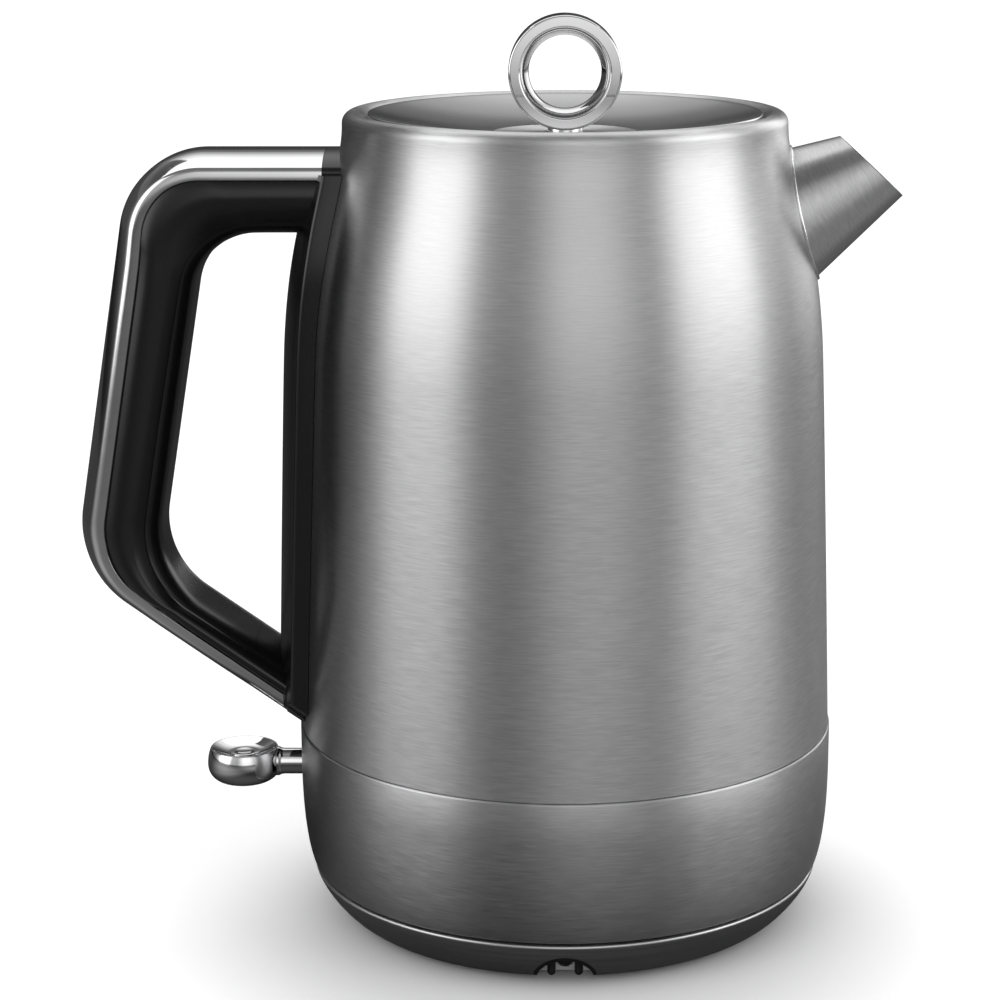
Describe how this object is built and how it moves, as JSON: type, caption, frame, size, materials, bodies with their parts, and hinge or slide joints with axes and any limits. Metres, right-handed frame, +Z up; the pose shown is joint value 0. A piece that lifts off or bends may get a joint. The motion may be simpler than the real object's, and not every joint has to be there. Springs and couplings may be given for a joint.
{
  "type": "electric kettle",
  "caption": "Cordless electric kettle: tapered steel jug with a cone spout, looped side handle, ring-handled lift-out lid and rocker switch, on a round power base.",
  "frame": {"origin": "on the table under the centre of the round power base", "axes": "+Z up, +X from the kettle's axis towards the spout and -X towards the handle, +Y away from the side that the switch and handle are seen from"},
  "size_m": [0.2292, 0.152, 0.2547],
  "materials": {
    "base_grey": "satin moulded plastic",
    "black_plastic": "satin moulded plastic",
    "foot_rubber": "matt rubber",
    "seal_rubber": "silicone rubber",
    "pale_plastic": "moulded plastic",
    "steel": "stainless steel brushed round the jug",
    "lid_steel": "satin stainless steel",
    "bright_metal": "polished chrome",
    "screw_steel": "plated steel",
    "contact_brass": "plain brass",
    "aluminium": "rolled aluminium",
    "element_metal": "dull steel tube"
  },
  "bodies": {
    "power_base": {"base_cover": "base_grey", "base_bottom": "black_plastic", "base_foot_ring": "foot_rubber", "base_screws": "screw_steel", "cord_outlet": "black_plastic", "base_socket": "black_plastic", "socket_contacts": "contact_brass"},
    "shutter": {"socket_shutter": "pale_plastic"},
    "kettle": {"jug_shell": "steel", "lower_collar": "steel", "spout": "steel", "spout_bead": "bright_metal", "spout_strainer": "steel", "lid_seat": "steel", "kettle_bottom": "black_plastic", "bottom_screws": "screw_steel", "kettle_connector": "black_plastic", "connector_pins": "contact_brass", "heating_plate": "steel", "heat_spreader": "aluminium", "heating_element": "element_metal", "plate_seal": "seal_rubber", "control_unit": "pale_plastic", "control_discs": "contact_brass", "steam_thermostat": "pale_plastic", "steam_disc": "contact_brass", "steam_tube": "steel", "switch_bracket": "black_plastic", "switch_pivot": "screw_steel", "handle_shell": "black_plastic", "handle_strip": "bright_metal", "handle_cover": "black_plastic", "handle_studs": "screw_steel"},
    "switch": {"switch_lever": "bright_metal", "switch_cup": "bright_metal"},
    "lid": {"lid_plate": "lid_steel", "lid_disc": "lid_steel", "lid_pedestal": "bright_metal", "lid_ring": "bright_metal", "lid_plug": "black_plastic", "lid_seal": "seal_rubber", "lid_screw": "screw_steel"}
  },
  "joints": [
    {"name": "swivel", "type": "hinge", "parent": "power_base", "child": "shutter", "pos_m": [0, 0, 0.0235], "axis": [0, 0, 1], "continuous": true},
    {"name": "lift", "type": "slide", "parent": "shutter", "child": "kettle", "axis": [0, 0, 1], "range_m": [0, 0.06]},
    {"name": "lid_lift", "type": "slide", "parent": "kettle", "child": "lid", "axis": [0, 0, 1], "range_m": [0, 0.06]},
    {"name": "switch", "type": "hinge", "parent": "kettle", "child": "switch", "pos_m": [-0.0635, 0, 0.04085], "axis": [0, -1, 0], "range_deg": [0, 13]}
  ]
}
